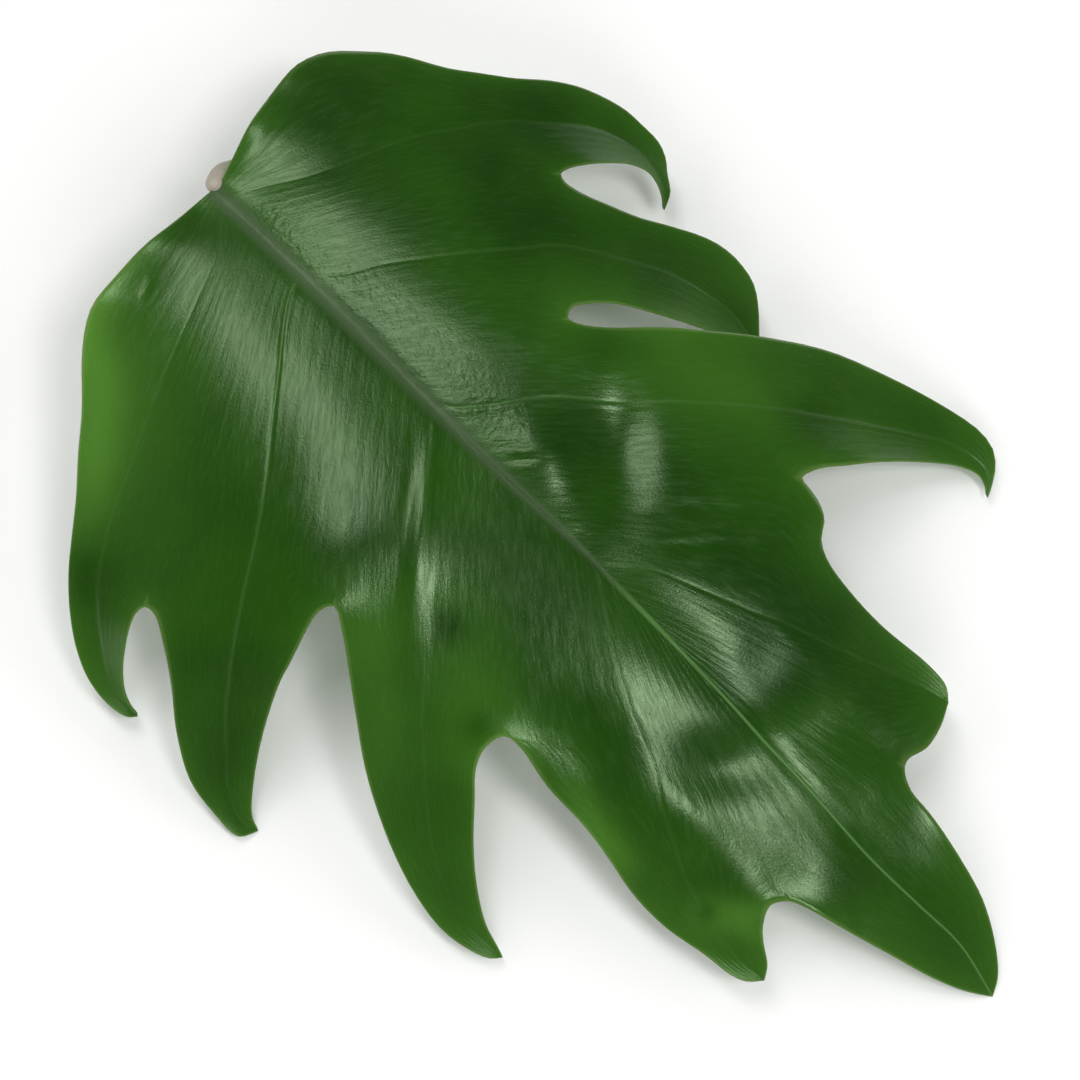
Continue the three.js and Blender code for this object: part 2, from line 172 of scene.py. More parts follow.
RIGHT_SIDE = {
    "sign": -1,
    "droop": 0.0026,
    "puff": [0.5, 0.6, 0.5, -2, 0.8],
    "margin": [
        (0, -4), (-0.2, -8), (-0.5, -19), (-0.5, -34), (0.5, -44), (2, -52), (5, -58), (9.5, -63.5),
        (20, -73.5), (29.5, -84), (39, -94.5), (47, -104), (54, -113), (62.5, -121), (70, -126.5),
        (78, -130), (87, -131), (93.5, -129.5),
    ],
    "lobes": [
        {
            "tip": (95.5, -127), "height": 7, "share": 0.7, "line": 0.4,
            "vein": [
                (11, -6.5), (17.5, -13.5), (22.5, -23.5), (28.5, -37), (35, -52.5), (43, -70),
                (48, -80.5), (52, -90.5), (58, -101), (65.5, -112), (75.5, -121), (86, -127.5),
            ],
        },
        {
            "tip": (146.5, -124.5), "height": 0.3, "share": 0.5, "line": 0.9,
            "vein": [
                (43.5, -7.5), (48.5, -14.5), (60.5, -28), (71, -40.5), (78, -48.5), (87, -60),
                (94.5, -71), (99.5, -79.5), (105.5, -89.5), (110.5, -97.5), (117.5, -107.5),
                (125.5, -116), (133, -123), (141.5, -126.5),
            ],
        },
        {
            "tip": (227.5, -98), "height": 4, "share": 0.42, "line": 0.3,
            "vein": [
                (103.5, -6), (110, -13), (116, -19.5), (124, -28), (133.5, -37.5), (141, -45.5),
                (149.5, -53.5), (157, -61), (163, -67.5), (173, -76.5), (181, -83.5), (188, -89),
                (199.5, -95.5), (212.5, -99),
            ],
        },
        {
            "tip": (288, -47.5), "height": 13, "share": 0.45, "line": 0.35,
            "vein": [
                (174, -4.5), (183, -10.5), (193.5, -16.5), (203, -21.5), (213, -25.5), (222.5, -29.5),
                (232, -35.5), (242, -40.5), (252, -44.5), (263, -47), (275, -48.5),
            ],
        },
    ],
    "bays": [
        {
            "deepest": (79.5, -103.5),
            "back": [(91.5, -126), (88.5, -124.5), (85, -121), (82, -116), (79.5, -110.5), (78.5, -106.5)],
            "front": [
                (83.5, -103), (92, -107.5), (100.5, -113.5), (111.5, -122.5), (123, -129), (134, -130.5),
                (144, -130),
            ],
        },
        {
            "deepest": (123.5, -64.5),
            "back": [
                (142.5, -123), (137, -116.5), (129.5, -103), (125, -90.5), (124, -85), (121, -72),
                (121, -68.5),
            ],
            "front": [
                (129.5, -67.5), (146.5, -79.5), (162.5, -90.5), (180, -99), (196, -104), (209.5, -105.5),
                (219.5, -103.5), (225, -101),
            ],
        },
        {
            "deepest": (185, -54.5),
            "back": [(224, -97), (217, -95), (208.5, -90), (200, -83), (191, -73.5), (185, -67), (183, -61)],
            "front": [
                (190.5, -53.5), (204, -55.5), (219.5, -55.5), (229.5, -56.5), (243, -58.5), (256.5, -58),
                (270.5, -55), (280, -53.5), (284.5, -51.5),
            ],
        },
        {
            "deepest": (277, -27),
            "back": [(285.5, -44), (280, -40.5), (276.5, -37.5), (274, -32)],
            "front": [(281, -25), (290, -22), (306, -16.5), (322.5, -10.5), (332.5, -5.5)],
        },
    ],
}
LAST_LOBE = {"tip": (BLADE_LENGTH, 0), "height": 0.3, "share": 0.5, "line": 0}
SPAN_STEPS = 16
STRETCH_POINTS = 61
SHORTEST_STEP = 1e-6


def smooth_track(points):
    """A smooth curve through points, in short straight steps.

    Each span is a cubic whose end slopes come from the neighbouring points, with the spans
    timed by the square root of their lengths; beyond each end the first span is mirrored.
    """
    knots = np.array(points, float)
    knots = np.vstack([2 * knots[0] - knots[1], knots, 2 * knots[-1] - knots[-2]])
    t = np.linspace(0, 1, SPAN_STEPS, endpoint=False)[:, None]
    spans = []
    for a, b, c, d in zip(knots, knots[1:], knots[2:], knots[3:]):
        ab, bc, cd = (np.linalg.norm(q - p) ** 0.5 for p, q in ((a, b), (b, c), (c, d)))
        leave = ((b - a) / ab - (c - a) / (ab + bc) + (c - b) / bc) * bc
        arrive = ((c - b) / bc - (d - b) / (bc + cd) + (d - c) / cd) * bc
        curve = b + leave * t + (3 * (c - b) - 2 * leave - arrive) * t**2
        spans.append(curve + (2 * (b - c) + leave + arrive) * t**3)
    return np.vstack(spans + [knots[-2:-1]])


def point_along(track, share):
    """Points at shares of a track's length, by straight interpolation between its steps."""
    lengths = np.concatenate([[0], np.cumsum(np.linalg.norm(np.diff(track, axis=0), axis=1))])
    wanted = np.asarray(share) * lengths[-1]
    return np.stack([np.interp(wanted, lengths, column) for column in track.T], -1)


midrib_track = smooth_track(MIDRIB)


def midrib_y(x):
    """The midrib's sideways place at a distance x from the junction."""
    return np.interp(x, midrib_track[:, 0], midrib_track[:, 1])


def midrib_stretch(start, end):
    """The midrib's track from one x to another."""
    x = np.linspace(start, end, STRETCH_POINTS)
    return np.stack([x, midrib_y(x)], -1)


def distance_to(track, points):
    """Distance from each point to the nearest straight step of a track.

    The nearest place on a step is the point's offset laid along the step, kept between its
    ends. A step without length counts as a very short one.
    """
    start, step = track[:-1], np.diff(track, axis=0)
    offset = points[:, None] - start
    share = (offset * step).sum(-1) / np.maximum((step**2).sum(-1), SHORTEST_STEP**2)
    gap = offset - np.clip(share, 0, 1)[..., None] * step
    return np.sqrt((gap**2).sum(-1).min(1))


# Leaf blade, its rows and columns
# Rows run across each half-lobe, from the midrib to the lobe's tip; columns run from its edge
# to its vein. They lie close together along the midrib and the veins, where the ribs are.
ROWS_INSIDE = 42
ROWS_OUTSIDE = 34
COLUMNS = 30
ROWS_CROWD = 1.8
COLUMNS_CROWD = 1.5
PROGRESS_POWER = 1 / 1.4
LANE_WIDTH = 22.0

# Rows inside the bays crowd at the midrib by a power. Outside them the spacing is half even
# and half a cosine's. Progress grows by one half over the inside and one half over the outside.
inside = np.linspace(0, 1, ROWS_INSIDE + 1) ** ROWS_CROWD
outside_turn = np.linspace(0, 1, ROWS_OUTSIDE + 1)
outside = (outside_turn + (1 - np.cos(np.pi * outside_turn)) / 2) / 2
progress = np.concatenate([inside**PROGRESS_POWER, 1 + outside_turn[1:]]) / 2
out_share = np.concatenate([0 * inside, outside[1:]])
across = 1 - (1 - np.linspace(0, 1, COLUMNS + 1)) ** COLUMNS_CROWD


def half_lobe(vein, vein_share, bay_line, margin, root):
    """Plan of half a lobe, as rows of points from its edge to its vein.

    Each row is a straight line from edge to vein, plus the midrib's bend, which fades with
    the square of the rest of the way to the tip.
    """
    on_vein = np.concatenate([vein_share * inside, vein_share + (1 - vein_share) * outside[1:]])
    rib = point_along(vein, on_vein)
    if bay_line is None:
        edge = point_along(margin, on_vein)
    else:
        edge = np.vstack([point_along(bay_line, inside), point_along(margin, outside)[1:]])
    weight = across[None, :, None]
    chord = (1 - across)[:, None] * root[0] + across[:, None] * root[-1]
    bend = (1 - progress[:, None, None]) ** 2 * (point_along(root, across) - chord)
    plan = (1 - weight) * edge[:, None] + weight * rib[:, None] + bend
    plan[:, 0], plan[:, -1] = edge, rib
    return plan


def half_lobes(side):
    """Every half-lobe of one side: its plan, with its vein, margin, lobe and lanes."""
    lobes = side["lobes"] + [LAST_LOBE]
    halves = []
    for i, lobe in enumerate(lobes):
        start_x = VEIN_STARTS[i]
        if lobe is LAST_LOBE:
            vein = midrib_stretch(start_x, BLADE_LENGTH)
        else:
            vein = smooth_track([(start_x, midrib_y(start_x))] + lobe["vein"] + [lobe["tip"]])
        for bay in (i - 1, i):
            if bay == len(side["bays"]):
                continue
            if bay < 0:
                bay_x, bay_line = 0, None
                margin = smooth_track([(0, 0)] + side["margin"] + [lobe["tip"]])
            else:
                form = side["bays"][bay]
                back = [lobes[bay]["tip"]] + form["back"] + [form["deepest"]]
                rim = smooth_track(back + form["front"] + [lobes[bay + 1]["tip"]])
                deepest = SPAN_STEPS * (len(back) - 1)
                margin = rim[:deepest + 1][::-1] if bay == i else rim[deepest:]
                bay_x = BAY_STARTS[bay]
                bay_line = np.array([(bay_x, midrib_y(bay_x)), form["deepest"]])
            root = midrib_stretch(bay_x, start_x)
            halves.append({
                "plan": half_lobe(vein, lobe["share"], bay_line, margin, root),
                "vein": vein,
                "margin": margin,
                "lobe": lobe,
                "side": side,
                "puff": side["puff"][bay + 1],
                "edge_lane": 2 * (bay + 1),
                "vein_lane": 2 * i + 1,
                "behind": -1 if bay < i else 1,
            })
        lobe_halves = [half for half in halves if half["lobe"] is lobe]
        for half in lobe_halves:
            half["margins"] = [other["margin"] for other in lobe_halves]
    return halves


# Leaf blade, its heights
# The midrib arches up from its root and falls to the tip, the blade rises out of the midrib's
# trough and droops to the margin, and each lobe curls down to its own tip.
ROOT_HEIGHT = 50.0
TIP_HEIGHT = LAST_LOBE["height"]
ARCH_HEIGHT = 24.6
TROUGH_DEPTH = 7.0
TROUGH_REACH = 45.0
TROUGH_ROUND = 1.6
TIP_CURL = 2.2


def blade_height(points, droop):
    """Height of the blade before its lobes curl.

    The midrib is a straight fall with a parabola on it. To its sides the height grows as one
    minus e to the minus distance, and falls with the square of the distance. The distance is
    that to a point a little off the sheet, which rounds the trough's bottom.
    """
    share = points[..., 0] / BLADE_LENGTH
    off = np.hypot(points[..., 1] - midrib_y(points[..., 0]), TROUGH_ROUND) - TROUGH_ROUND
    midrib = ROOT_HEIGHT + (TIP_HEIGHT - ROOT_HEIGHT) * share + ARCH_HEIGHT * 4 * share * (1 - share)
    return midrib + TROUGH_DEPTH * (1 - np.exp(-off / TROUGH_REACH)) - droop * off**2


def half_lobe_values(half):
    """A half-lobe's points, each with ten numbers.

    They are its x, y and height, the lane across and the way along it, the share of the way
    out from the bay, the progress from midrib to tip, its distance from the vein (negative
    towards the stalk), how plainly the vein shows, and its distance from the margin. Each
    half-lobe is one lane wide. The puff is a sine of the progress times one minus the square
    of the share across.
    """
    plan = half["plan"]
    curl = out_share[:, None] ** TIP_CURL * (half["lobe"] is not LAST_LOBE)
    height = (1 - curl) * blade_height(plan, half["side"]["droop"]) + curl * half["lobe"]["height"]
    height += half["puff"] * np.sin(np.pi * progress)[:, None] * (1 - across**2)
    step = np.linalg.norm(np.diff(plan, axis=0), axis=2)
    along = np.vstack([np.zeros(COLUMNS + 1), np.cumsum(step, axis=0)])
    lane = half["edge_lane"] + (half["vein_lane"] - half["edge_lane"]) * across
    flat = plan.reshape(-1, 2)
    off_vein = half["behind"] * distance_to(half["vein"], flat)
    off_margin = np.min([distance_to(margin, flat) for margin in half["margins"]], axis=0)
    full = np.ones_like(height)
    columns = [plan[..., 0], plan[..., 1], height, lane * LANE_WIDTH * full, along]
    columns += [out_share[:, None] * full, progress[:, None] * full]
    strength = np.full(len(flat), half["lobe"]["line"], float)
    return np.column_stack([c.ravel() for c in columns] + [off_vein, strength, off_margin])


# Leaf blade, its small relief
# Between the veins the blade swells and puckers a little, fine side veins crease it, and its
# margin waves. Each swell is a place, its reach along and across, its turn and its height;
# each crease is a route, its width and its height.
SWELLS = [
    (134, 13, 12, 9, 0, 1.2), (147, 28.5, 25, 12.5, 136, -4.2), (222, 16, 9, 9, 0, -0.8),
    (204, -42, 15, 12, 0, -2.2), (214, -18, 13, 10, 0, -0.8), (235.5, -14, 17, 10.5, 48, -2.7),
    (256, -24, 24, 18, 0, -2.7), (242, 13, 11, 13, 0, -2.0), (262, 28, 28, 18, 0, -5.0),
    (112, -66, 26, 22, -45, 3.5), (152, -58, 24, 20, 0, -2.5),
]
CREASES = [
    ([(-20, 0), (50, -0.5), (105, -1.5), (152, -0.5)], 9, 0.7),
    ([(160, 1.5), (178, 6), (192, 11), (206, 14), (218, 13.5), (229, 10)], 8, 0.5),
    ([(162, 8), (180, 16), (200, 25), (222, 35)], 8, 0.5),
    ([(99, -3), (109.5, -17), (120.8, -31.5), (130, -43.2), (141, -59.5)], 3, -0.3),
    ([(99, -2), (115, -19.2), (130.2, -38), (146, -55), (162.5, -71.5)], 3.3, 0.7),
    ([(233, 1), (246, 1.4), (262, 1), (284, 0)], 6, 0.9),
    ([(155.9, 1.4), (162, 15), (181, 39), (204, 61)], 1.2, -0.3),
    ([(168.4, 2.8), (179.8, 20.4), (208.6, 52.7)], 1.2, -0.3),
    ([(3.5, 11.8), (-1.4, 29.8), (-3.9, 46.9), (-3.3, 59.9)], 1.6, -0.35),
    ([(7.1, 54.6), (13.1, 69), (19.1, 80.2)], 1.5, -0.3),
    ([(12.7, -41.7), (8.5, -32.8)], 1.2, -0.3), ([(16.4, -57.4), (10.9, -48.9)], 1.2, -0.3),
    ([(126.7, 2.1), (130.3, 6.1), (134.4, 10.9)], 0.7, -0.35),
    ([(154.3, 1.8), (155.8, 5.3), (158.7, 10.7)], 0.8, 0.15),
]
CREASE_ENDS = 0.2
EDGE_WAVE = 0.6
EDGE_REACH = 8.0
EDGE_WAVES = [(0.21, 0.09, 0), (0.13, -0.24, 1.7)]
RIPPLE = 0.015
RIPPLES_PER_LANE = 5
RIPPLE_DRIFT = 0.05


def swell(points, x, y, along, sideways, turn, height):
    """A rounded hump: its height times e to minus the squares of the two distances over reach."""
    c, s = np.cos(np.radians(turn)), np.sin(np.radians(turn))
    dx, dy = points[:, 0] - x, points[:, 1] - y
    return height * np.exp(-((dx * c + dy * s) / along) ** 2 - ((dy * c - dx * s) / sideways) ** 2)


def crease(points, route, width, height):
    """A line of relief: its height times e to minus the squared distance over its width.

    It fades to both ends in the same way, over a fifth of its length.
    """
    track = smooth_track(route)
    reach = CREASE_ENDS * np.linalg.norm(track[-1] - track[0])
    ends = [1 - np.exp(-(np.linalg.norm(points - end, axis=1) / reach) ** 2) for end in track[[0, -1]]]
    return height * np.exp(-(distance_to(track, points) / width) ** 2) * ends[0] * ends[1]


def small_relief(points, lane, off_margin, out):
    """Swells, creases, ripples along the lanes and waves along the margin, added up.

    A ripple is a sine across the lanes. The waves are two crossing sines, which fade by e to
    minus the distance from the margin, and towards the lobe's tip.
    """
    x, y = points.T
    relief = sum(swell(points, *form) for form in SWELLS)
    relief += sum(crease(points, *form) for form in CREASES)
    ripples = np.sin(2 * np.pi * RIPPLES_PER_LANE * lane / LANE_WIDTH + RIPPLE_DRIFT * x)
    waves = sum(np.sin(along_x * x + along_y * y + start) for along_x, along_y, start in EDGE_WAVES)
    waves *= np.exp(-off_margin / EDGE_REACH) * (1 - out)
    return relief + RIPPLE * ripples + EDGE_WAVE * waves


# Leaf blade, its two faces
# The tissue is half a millimetre thick. The midrib and side veins stand out underneath as
# rounded ribs. Above, the midrib is a shallow channel, and each side vein is a fine groove with
# a low ridge beside it, plainer on some lobes than on others.
TISSUE = 0.5
LOWEST = 0.02
MIDRIB_HALF_WIDTH = 3.0
THIN_HALF_WIDTH = 0.35
MIDRIB_THINS_AT = 142.0
MIDRIB_THINNING = 6
CHANNEL_DEPTH = 0.25
CHANNEL_DEPTH_AT_TIP = 0.3
CHANNEL_WIDTH = 0.75
KEEL_DEPTH = 4.0
KEEL_DEPTH_AT_TIP = 0.1
KEEL_HALF_WIDTH = 3.0
KEEL_WIDTH_AT_TIP = 0.3
KEEL_UNDERCUT = 0.8
UNDERCUT_REACH = 6.0
VEIN_DEPTH = 1.3
VEIN_HALF_WIDTH = 1.1
VEIN_FADE = 0.7
GROOVE_DEPTH = 0.16
GROOVE_HALF_WIDTH = 0.55
RIDGE_HEIGHT = 0.12
RIDGE_HALF_WIDTH = 0.7
RIDGE_OFFSET = 1.3
VEINS_RUN_IN = 32.0
VEINS_SET_IN = [0.9, 1.7]
RIM_ROUND = 0.18

halves = half_lobes(LEFT_SIDE) + half_lobes(RIGHT_SIDE)
values = np.vstack([half_lobe_values(half) for half in halves])
grid = np.arange(len(progress) * len(across)).reshape(len(progress), len(across))
corners = np.stack([grid[:-1, :-1], grid[:-1, 1:], grid[1:, 1:], grid[1:, :-1]], -1).reshape(-1, 4)
triangles = []
for number, half in enumerate(halves):
    a, b, c, d = (corners + number * grid.size).T
    pair = np.vstack([np.stack([a, b, c], 1), np.stack([a, c, d], 1)])
    upwards = half["side"]["sign"] * half["behind"] < 0
    triangles.append(pair if upwards else pair[:, ::-1])
triangles = np.vstack(triangles)

# Points that half-lobes share, to a thousandth of a millimetre, become one. Triangles that
# lose a side by it go. Each face keeps its side in Y, which tells the lanes apart.
_, first, merged = np.unique(
    np.round(values[:, :2], 3), axis=0, return_index=True, return_inverse=True
)
merged = merged.ravel()
off_margin = np.full(len(first), np.inf)
np.minimum.at(off_margin, merged, values[:, -1])
face_side = np.sign(values[triangles, 1].mean(1))
triangles = merged[triangles]
sound = (triangles != np.roll(triangles, 1, axis=1)).all(1)
triangles, face_side = triangles[sound], face_side[sound]
kept = np.unique(triangles)
triangles = np.searchsorted(kept, triangles)
plan_x, plan_y, height, lane, along, out, row_share, off_vein, line = values[first[kept], :-1].T
off_margin = off_margin[kept]

plan = np.stack([plan_x, plan_y], 1)
middle = np.column_stack([plan, height + small_relief(plan, lane, off_margin, out)])

# No part of the sheet lies lower than the blade's tip
middle[:, 2] = np.maximum(middle[:, 2], TIP_HEIGHT)


def corner_normals(points, faces):
    """Unit normals at the points: the faces' normals, weighted by area, added up."""
    a, b, c = points[faces].transpose(1, 0, 2)
    facing = np.cross(b - a, c - a)
    total = np.zeros_like(points)
    for corner in faces.T:
        np.add.at(total, corner, facing)
    return total / np.linalg.norm(total, axis=1, keepdims=True)


normal = corner_normals(middle, triangles)
fade = 1 - VEIN_FADE * row_share
beside = np.abs(plan_y - midrib_y(plan_x))
beyond = np.maximum(0, plan_x)

# Above, the midrib keeps its width up to the place where it thins. Its channel is a bell in
# section. So are each vein's groove and ridge, which grow with the distance from the junction,
# fade towards the lobe's tip, and set in beside the midrib, between two multiples of its half
# width.
thinning = 1 / (1 + (beyond / MIDRIB_THINS_AT) ** MIDRIB_THINNING)
off_midrib = beside / (THIN_HALF_WIDTH + MIDRIB_HALF_WIDTH * thinning)
channel = CHANNEL_DEPTH * np.exp(-((off_midrib / CHANNEL_WIDTH) ** 2))
channel *= CHANNEL_DEPTH_AT_TIP + (1 - CHANNEL_DEPTH_AT_TIP) * thinning
run_in = 1 - np.exp(-(np.hypot(plan_x, plan_y) / VEINS_RUN_IN) ** 2)
off_band = np.interp(off_midrib, VEINS_SET_IN, [0, 1])
shown = line * run_in * fade * off_band
groove = GROOVE_DEPTH * np.exp(-((off_vein / GROOVE_HALF_WIDTH) ** 2))
ridge = RIDGE_HEIGHT * np.exp(-(((off_vein - RIDGE_OFFSET) / RIDGE_HALF_WIDTH) ** 2))
upper = middle + normal * (TISSUE / 2 + shown * (ridge - groove) - channel)[:, None]

# Below, the keel and the ribs are parabolas in section, with their sides made a little fuller.
# The keel gets narrower and lower to the tip, and at its root it leans towards the tip.
taper = 1 - plan_x / BLADE_LENGTH
keel_reach = KEEL_HALF_WIDTH * (KEEL_WIDTH_AT_TIP + (1 - KEEL_WIDTH_AT_TIP) * taper)
keel = KEEL_DEPTH * np.maximum(0, 1 - (beside / keel_reach) ** 2) ** 0.75
keel *= KEEL_DEPTH_AT_TIP + (1 - KEEL_DEPTH_AT_TIP) * taper
rib = VEIN_DEPTH * fade * np.maximum(0, 1 - (off_vein / VEIN_HALF_WIDTH) ** 2) ** 0.7
lower = middle - normal * (TISSUE / 2 + rib)[:, None]
lower[:, 0] += KEEL_UNDERCUT * keel * np.exp(-beyond / UNDERCUT_REACH)
lower[:, 2] = np.maximum(LOWEST, lower[:, 2] - keel)

# The margin is rounded: between the faces a third line of points stands out a little
edges = np.vstack([triangles[:, [0, 1]], triangles[:, [1, 2]], triangles[:, [2, 0]]])
count = len(middle)
lonely = ~np.isin(edges[:, 0] * count + edges[:, 1], edges[:, 1] * count + edges[:, 0])
start, end = edges[lonely].T
outwards = np.cross(middle[end] - middle[start], normal[start] + normal[end])
push = np.zeros_like(middle)
np.add.at(push, start, outwards)
np.add.at(push, end, outwards)
rim_points = np.unique(start)
push = push[rim_points] / np.linalg.norm(push[rim_points], axis=1, keepdims=True)
rim = (upper[rim_points] + lower[rim_points]) / 2 + RIM_ROUND * push
rim_index = np.zeros(count, int)
rim_index[rim_points] = 2 * count + np.arange(len(rim_points))
rim_start, rim_end = rim_index[start], rim_index[end]
rim_faces = np.vstack([
    np.stack([start, rim_start, rim_end], 1),
    np.stack([start, rim_end, end], 1),
    np.stack([rim_start, count + start, count + end], 1),
    np.stack([rim_start, count + end, rim_end], 1),
])
blade_points = np.vstack([upper, lower, rim])
blade_faces = np.vstack([triangles, count + triangles[:, ::-1], rim_faces])
UPPER, UNDER = 0, 1
blade_finish = np.repeat([UPPER, UNDER, UPPER], [len(triangles), len(triangles), len(rim_faces)])


# Leaf blade, its cuticle
# The upper face is a waxy skin over dark green tissue, smooth and half glossy, which gives
# soft broad sheens broken by the fine parallel veins. A paler yellow-green at the tips, near
# the margin and in strips is painted light, shining through the thin tissue.


def linear(colour):
    """An sRGB hex colour as linear red, green, blue and alpha."""
    channels = np.array([int(colour[i:i + 2], 16) for i in (1, 3, 5)]) / 255
    channels = np.where(channels > 0.04045, ((channels + 0.055) / 1.055) ** 2.4, channels / 12.92)
    return (*channels, 1.0)


def add_node(material, kind, links=None, **settings):
    """Adds a node: settings are its properties, links its sockets' values or sources."""
    node = material.node_tree.nodes.new("ShaderNode" + kind)
    for name, value in settings.items():
        setattr(node, name, value)
    for socket, value in (links or {}).items():
        if isinstance(value, bpy.types.NodeSocket):
            material.node_tree.links.new(value, node.inputs[socket])
        else:
            node.inputs[socket].default_value = value
    return node


def new_material(name):
    """An empty material with its shader, whose sockets the caller sets."""
    material = bpy.data.materials.new(name)
    material.use_nodes = True
    return material, material.node_tree.nodes["Principled BSDF"]


DEEP_GREEN = "#123504"
LEAF_GREEN = "#1f4606"
# Painted light: this paler yellow-green stands in for light shining through the thin tissue
THROUGHLIT_GREEN = "#589030"
MIDRIB_OLIVE = "#3c5232"
MIDRIB_GREEN = "#2b4020"
VEIN_GREEN = "#4c7239"
# Painted light: a pale line on the edge, where light shines through the thin margin
PALE_LIT_MARGIN_GREEN = "#7f9a55"
WAX_IOR = 1.45
WAX_TINT = (0.75, 1.0, 0.63, 1.0)
WAX_ROUGHNESS = (0.19, 0.3)
MIDRIB_ROUGHNESS = 0.38

# Sizes of the patterns and heights of their relief, in millimetres. Streaks follow the small
# veins between the side veins, and strands follow the midrib. The fine grain is drawn coarser
# than the leaf's cells, so that it shows.
PATCH_SIZE = 45.0
PUCKER_SIZE = 2.4
GRAIN_SIZE = 0.9
STREAK_SPACING = 1.0
STREAK_LENGTH = 7.0
STRAND_SPACING = 0.7
STRAND_LENGTH = 14.0
STREAK_RELIEF = 0.045
PUCKER_RELIEF = 0.16
GRAIN_RELIEF = 0.03

cuticle, wax = new_material("waxy_leaf_cuticle")
object_place = add_node(cuticle, "TexCoord").outputs["Object"]
lanes = add_node(cuticle, "UVMap", uv_map="lanes").outputs["UV"]
streak_map = add_node(cuticle, "Mapping", {
    "Vector": lanes, "Scale": (1 / STREAK_SPACING, 1 / STREAK_LENGTH, 1),
}).outputs[0]
streaks = add_node(cuticle, "TexNoise", {
    "Vector": streak_map, "Scale": 1.0, "Detail": 3.0, "Roughness": 0.6,
}, noise_dimensions="2D").outputs["Fac"]
strand_scale = np.array([1 / STRAND_LENGTH, 1 / STRAND_SPACING, 1 / STRAND_SPACING]) / MM
strand_map = add_node(cuticle, "Mapping", {"Vector": object_place, "Scale": strand_scale}).outputs[0]
strands = add_node(cuticle, "TexNoise", {
    "Vector": strand_map, "Scale": 1.0, "Detail": 2.0,
}).outputs["Fac"]
patches, puckers, grain = (
    add_node(cuticle, "TexNoise", {
        "Vector": object_place, "Scale": 1 / (size * MM), "Detail": 2.0,
    }).outputs["Fac"]
    for size in (PATCH_SIZE, PUCKER_SIZE, GRAIN_SIZE)
)
throughlit, vein_here, on_midrib, lit_margin_line, puckered = (
    add_node(cuticle, "Attribute", attribute_name=name).outputs["Fac"]
    for name in ("throughlit", "vein", "midrib", "margin", "pucker")
)
patch_share = add_node(cuticle, "MapRange", {
    "Value": patches, "From Min": 0.35, "From Max": 0.65,
}).outputs[0]
streak_share = add_node(cuticle, "MapRange", {
    "Value": streaks, "From Min": 0.45, "From Max": 0.8, "To Max": 0.05,
}).outputs[0]

# The midrib is olive at its root, a darker green towards the middle, and light where it is thin
toward_tip = add_node(cuticle, "SeparateXYZ", {"Vector": object_place}).outputs["X"]
midrib_colour = linear(MIDRIB_OLIVE)
for begins, ends, colour in ((-120, -20, MIDRIB_GREEN), (5, 25, VEIN_GREEN)):
    share = add_node(cuticle, "MapRange", {
        "Value": toward_tip, "From Min": begins * MM, "From Max": ends * MM,
    }).outputs[0]
    midrib_colour = add_node(cuticle, "Mix", {
        0: share, 6: midrib_colour, 7: linear(colour),
    }, data_type="RGBA").outputs[2]

# Each colour lies over those before it
tissue = linear(DEEP_GREEN)
for share, colour in (
    # The paler yellow-green is painted light shining through the thin tissue
    (patch_share, linear(LEAF_GREEN)), (throughlit, linear(THROUGHLIT_GREEN)),
    (streak_share, linear(VEIN_GREEN)), (vein_here, linear(VEIN_GREEN)),
    # The pale margin line is painted light shining through the thin edge
    (on_midrib, midrib_colour), (lit_margin_line, linear(PALE_LIT_MARGIN_GREEN)),
):
    tissue = add_node(cuticle, "Mix", {
        0: share, 6: tissue, 7: colour,
    }, data_type="RGBA").outputs[2]
cuticle.node_tree.links.new(tissue, wax.inputs["Base Color"])

gloss = add_node(cuticle, "MapRange", {
    "Value": streaks, "From Min": 0.3, "From Max": 0.7,
    "To Min": WAX_ROUGHNESS[0], "To Max": WAX_ROUGHNESS[1],
}).outputs[0]
gloss = add_node(cuticle, "Mix", {0: on_midrib, 2: gloss, 3: MIDRIB_ROUGHNESS}).outputs[0]
cuticle.node_tree.links.new(gloss, wax.inputs["Roughness"])

lines = add_node(cuticle, "Mix", {0: on_midrib, 2: streaks, 3: strands}).outputs[0]
streak_bump = add_node(cuticle, "Bump", {
    "Height": lines, "Distance": STREAK_RELIEF * MM, "Strength": 1.0,
}).outputs[0]
pucker_bump = add_node(cuticle, "Bump", {
    "Height": puckers, "Distance": PUCKER_RELIEF * MM, "Strength": puckered, "Normal": streak_bump,
}).outputs[0]
grain_bump = add_node(cuticle, "Bump", {
    "Height": grain, "Distance": GRAIN_RELIEF * MM, "Strength": 1.0, "Normal": pucker_bump,
}).outputs[0]
cuticle.node_tree.links.new(grain_bump, wax.inputs["Normal"])

# The sheen on the wax looks a little green
wax.inputs["IOR"].default_value = WAX_IOR
wax.inputs["Specular Tint"].default_value = WAX_TINT

# Leaf blade, its underside
# Below, the tissue is paler and dull, without the wax, and the ribs are a light yellowish green.
UNDER_GREEN = "#4f7f3a"
RIB_GREEN = "#8da56a"
UNDER_RELIEF = 0.12
UNDER_ROUGHNESS = 0.62

